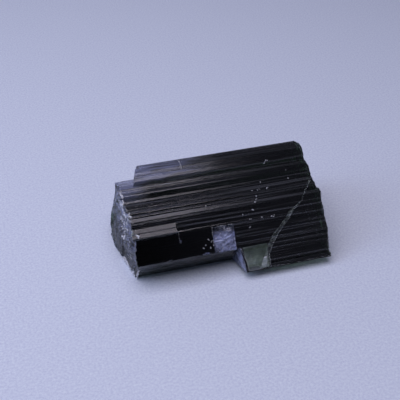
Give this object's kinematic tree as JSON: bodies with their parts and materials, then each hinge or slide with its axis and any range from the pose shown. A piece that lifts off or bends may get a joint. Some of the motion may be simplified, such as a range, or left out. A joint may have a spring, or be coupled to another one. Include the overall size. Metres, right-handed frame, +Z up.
{
  "type": "tourmaline crystal",
  "caption": "Loose, broken crystal of dark green tourmaline: a striated prism with rough fractured ends and a thin see-through corner, lying on one of its sides.",
  "frame": {"origin": "under the middle of the crystal, on the surface that it lies on", "axes": "+X along the prism and its striations, towards the end beside the overhanging wedge; +Y towards the back, away from the wedge's sharp edge; +Z up"},
  "size_m": [0.028, 0.018, 0.0116],
  "materials": {
    "tourmaline": "polished"
  },
  "bodies": {
    "root": {"tourmaline_crystal": "tourmaline"}
  },
  "joints": []
}
